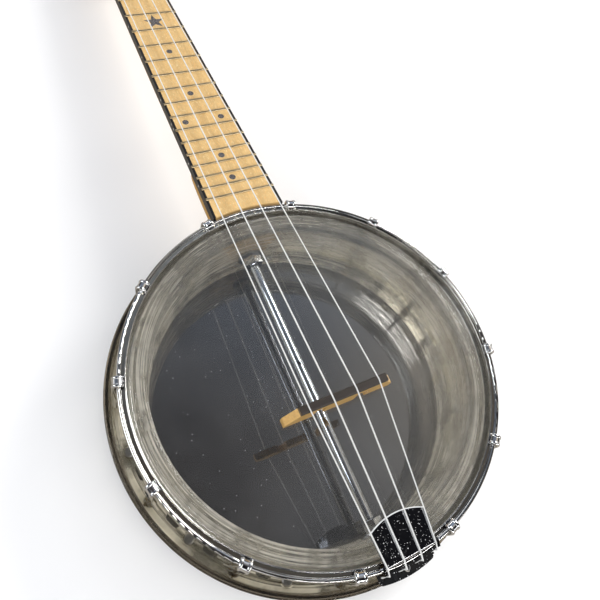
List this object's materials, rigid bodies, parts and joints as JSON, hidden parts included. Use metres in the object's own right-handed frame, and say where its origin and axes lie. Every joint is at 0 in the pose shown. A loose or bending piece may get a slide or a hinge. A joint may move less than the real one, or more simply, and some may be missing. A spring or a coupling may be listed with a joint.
{
  "type": "banjo ukulele",
  "caption": "Banjo ukulele with a clear drum pot and clear resonator, maple neck, arched maple bridge, hinged chrome tailpiece and open-geared tuners.",
  "frame": {"origin": "on the pot's axis, at the flat outer face of the resonator's back", "axes": "+Z out of the drum head, +Y up the neck towards the headstock, +X to the player's treble side seen from the front"},
  "size_m": [0.219, 0.566, 0.0656],
  "materials": {
    "clear_plastic": "polished clear acrylic",
    "clear_film": "thin clear drum film",
    "chrome": "bright plate",
    "steel": "plain steel",
    "brass": "machined",
    "maple": "satin clear coat",
    "ebony": "oiled",
    "black_plastic": "gloss",
    "marker": "dark grey inlay",
    "white_plastic": "gloss",
    "bone": "polished bone substitute",
    "nickel_silver": "polished fret wire",
    "string": "fluorocarbon"
  },
  "bodies": {
    "instrument": {"rim": "clear_plastic", "head_film": "clear_film", "head_collar": "steel", "tension_hoop": "chrome", "tension_hooks": "chrome", "hook_washers": "brass", "hook_nuts": "brass", "flange": "clear_plastic", "resonator": "clear_plastic", "resonator_screws": "steel", "coordinator_rod": "chrome", "rod_nuts": "chrome", "rod_washers": "steel", "neck_bolt": "steel", "tail_bolt": "steel", "neck": "maple", "fretboard": "maple", "fretboard_binding": "black_plastic", "frets": "nickel_silver", "fret_markers": "marker", "side_dots": "white_plastic", "nut": "bone", "headstock_veneer": "ebony", "bridge_body": "maple", "bridge_cap": "ebony", "tailpiece_bracket": "chrome", "tailpiece_pin": "chrome", "tailpiece_screw": "chrome", "string_1": "string", "string_2": "string", "string_3": "string", "string_4": "string", "tuner_bushings": "chrome", "tuner_plates": "chrome", "tuner_screws": "chrome"},
    "button_1": {"worm_shaft_1": "chrome", "tuner_button_1": "white_plastic"},
    "post_1": {"tuner_post_1": "chrome", "tuner_gear_1": "brass", "gear_screw_1": "chrome", "string_coil_1": "string"},
    "button_2": {"worm_shaft_2": "chrome", "tuner_button_2": "white_plastic"},
    "post_2": {"tuner_post_2": "chrome", "tuner_gear_2": "brass", "gear_screw_2": "chrome", "string_coil_2": "string"},
    "button_3": {"worm_shaft_3": "chrome", "tuner_button_3": "white_plastic"},
    "post_3": {"tuner_post_3": "chrome", "tuner_gear_3": "brass", "gear_screw_3": "chrome", "string_coil_3": "string"},
    "button_4": {"worm_shaft_4": "chrome", "tuner_button_4": "white_plastic"},
    "post_4": {"tuner_post_4": "chrome", "tuner_gear_4": "brass", "gear_screw_4": "chrome", "string_coil_4": "string"},
    "tailpiece_cover": {"tailpiece_plate": "chrome"}
  },
  "joints": [
    {"name": "button_spin_1", "type": "hinge", "parent": "instrument", "child": "button_1", "pos_m": [-0.0165, 0.39122, 0.01123], "axis": [1, 0, 0], "continuous": true},
    {"name": "post_spin_1", "type": "hinge", "parent": "instrument", "child": "post_1", "pos_m": [-0.0165, 0.38742, 0.02864], "axis": [0, 0.1994, 0.9799], "continuous": true},
    {"name": "button_spin_2", "type": "hinge", "parent": "instrument", "child": "button_2", "pos_m": [-0.0165, 0.42356, 0.00465], "axis": [1, 0, 0], "continuous": true},
    {"name": "post_spin_2", "type": "hinge", "parent": "instrument", "child": "post_2", "pos_m": [-0.0165, 0.41976, 0.02206], "axis": [0, 0.1994, 0.9799], "continuous": true},
    {"name": "button_spin_3", "type": "hinge", "parent": "instrument", "child": "button_3", "pos_m": [0.0165, 0.42356, 0.00465], "axis": [1, 0, 0], "continuous": true},
    {"name": "post_spin_3", "type": "hinge", "parent": "instrument", "child": "post_3", "pos_m": [0.0165, 0.41976, 0.02206], "axis": [0, 0.1994, 0.9799], "continuous": true},
    {"name": "button_spin_4", "type": "hinge", "parent": "instrument", "child": "button_4", "pos_m": [0.0165, 0.39122, 0.01123], "axis": [1, 0, 0], "continuous": true},
    {"name": "post_spin_4", "type": "hinge", "parent": "instrument", "child": "post_4", "pos_m": [0.0165, 0.38742, 0.02864], "axis": [0, 0.1994, 0.9799], "continuous": true},
    {"name": "tailpiece_hinge", "type": "hinge", "parent": "instrument", "child": "tailpiece_cover", "pos_m": [0, -0.0982, 0.0531], "axis": [1, 0, 0], "range_deg": [-12, 0]}
  ],
  "couplings": [
    {"joint": "post_spin_1", "follows": "button_spin_1", "ratio": -0.071429},
    {"joint": "post_spin_2", "follows": "button_spin_2", "ratio": -0.071429},
    {"joint": "post_spin_3", "follows": "button_spin_3", "ratio": 0.071429},
    {"joint": "post_spin_4", "follows": "button_spin_4", "ratio": 0.071429}
  ]
}
